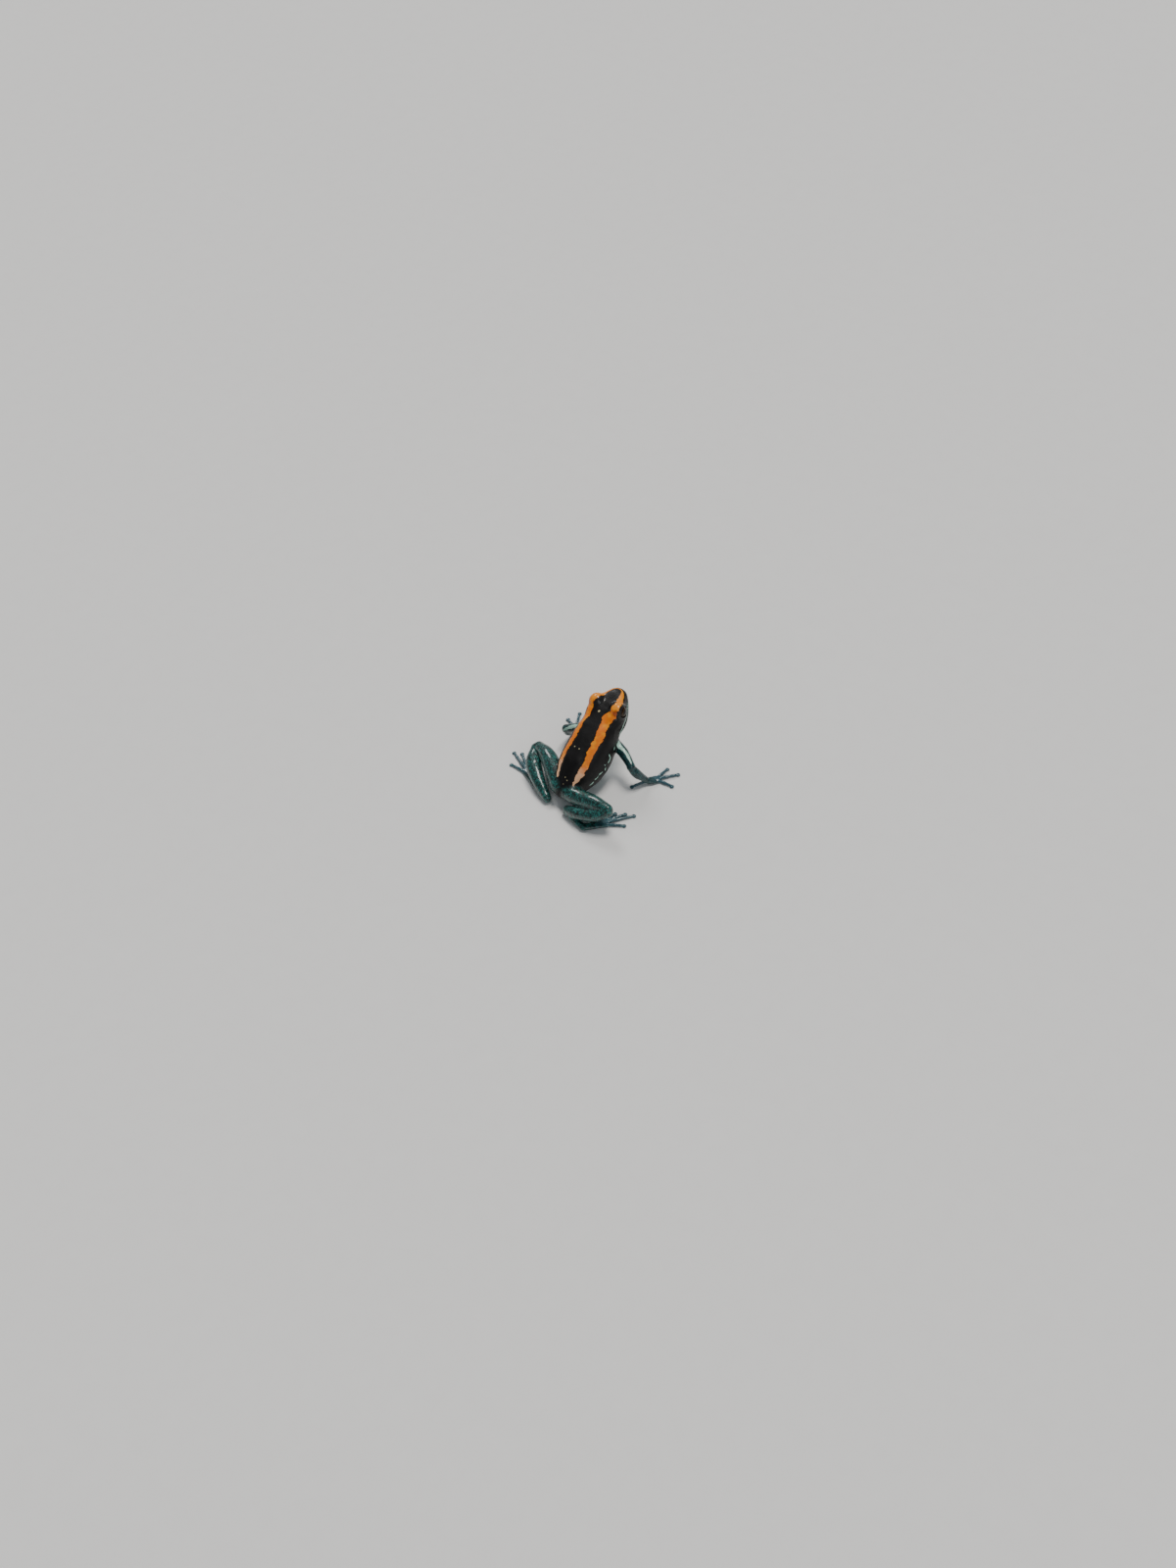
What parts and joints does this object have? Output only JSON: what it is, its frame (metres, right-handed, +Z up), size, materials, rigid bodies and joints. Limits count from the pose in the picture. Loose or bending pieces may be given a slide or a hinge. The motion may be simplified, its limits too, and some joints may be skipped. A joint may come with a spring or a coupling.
{
  "type": "golfodulcean poison frog",
  "caption": "Life-size still model of a small striped poison frog sitting with its head raised and its hind legs folded.",
  "frame": {"origin": "centre of the bounding box's bottom face, on the floor the frog stands on", "axes": "+Z up; the head faces -Y; the frog's right side is -X"},
  "size_m": [0.0362, 0.0276, 0.0165],
  "materials": {
    "skin_black": "smooth moist skin, black, with two orange stripes along the back",
    "skin_teal": "moist skin, fine turquoise mottling on black",
    "eye": "wet, polished, dark"
  },
  "bodies": {
    "root": {"head": "skin_black", "torso": "skin_black", "upper_arm_right": "skin_teal", "upper_arm_left": "skin_teal", "forearm_right": "skin_teal", "forearm_left": "skin_teal", "hand_right": "skin_teal", "hand_left": "skin_teal", "thigh_right": "skin_teal", "thigh_left": "skin_teal", "shank_right": "skin_teal", "shank_left": "skin_teal", "tarsus_right": "skin_teal", "tarsus_left": "skin_teal", "foot_right": "skin_teal", "foot_left": "skin_teal", "eye_right": "eye", "eye_left": "eye"}
  },
  "joints": []
}
